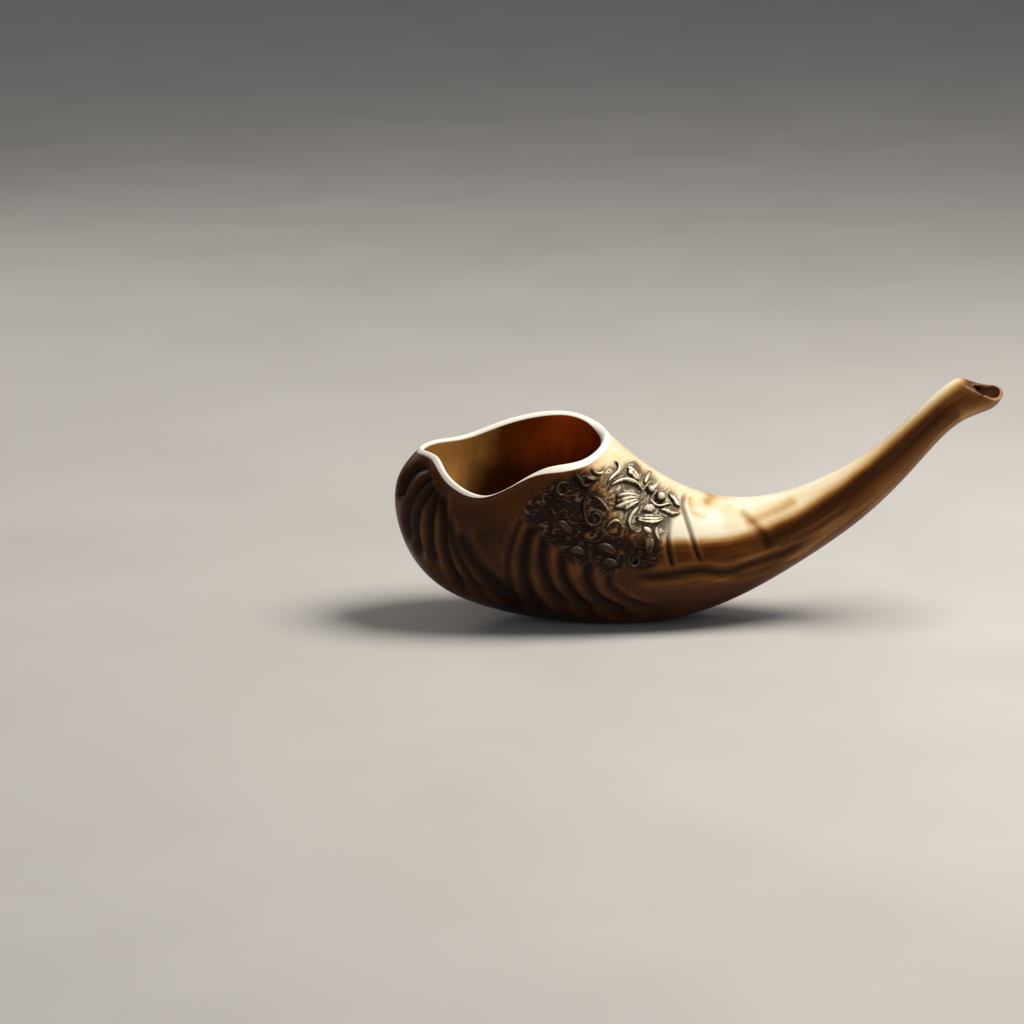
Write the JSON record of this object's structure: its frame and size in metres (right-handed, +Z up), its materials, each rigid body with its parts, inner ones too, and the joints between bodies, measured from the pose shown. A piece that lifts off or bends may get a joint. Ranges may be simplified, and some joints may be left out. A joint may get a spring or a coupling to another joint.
{
  "type": "shofar",
  "caption": "A curved ram's horn trumpet lying on its belly, its wide bell open upwards, with a spray of cast leaves, scrolls and bosses on one side.",
  "frame": {"origin": "middle of the flat on the horn's belly that it lies on", "axes": "+X from the bell towards the mouthpiece, +Z up, the relief on the -Y side"},
  "size_m": [0.2754, 0.0696, 0.1127],
  "materials": {
    "polished_horn": "polished keratin, ribbed and streaked from near black to cream, with a pale cut edge",
    "aged_silver": "warm cast silver with dark tarnish in its hollows",
    "bright_silver": "warm cast silver rubbed bright"
  },
  "bodies": {
    "root": {"horn": "polished_horn", "palmette": "aged_silver", "lower_fan": "aged_silver", "hood": "aged_silver", "palmette_tail": "aged_silver", "crown_leaf": "aged_silver", "brow_leaf": "aged_silver", "side_leaf": "aged_silver", "boss_cradle": "aged_silver", "tip_leaf": "aged_silver", "under_leaf": "aged_silver", "fold_leaf": "aged_silver", "drop_leaf": "aged_silver", "seed": "bright_silver", "hanging_leaf": "aged_silver", "slant_stem": "aged_silver", "low_arch": "aged_silver", "rim_hook_long": "aged_silver", "rim_hook_short": "aged_silver", "rim_leaf": "aged_silver", "low_leaf_left": "aged_silver", "low_leaf_middle": "aged_silver", "low_leaf_last": "aged_silver", "outer_leaf": "aged_silver", "left_spiral": "aged_silver", "outer_spiral": "aged_silver", "low_spiral": "aged_silver", "boss_front": "bright_silver", "boss_rear": "bright_silver"}
  },
  "joints": []
}
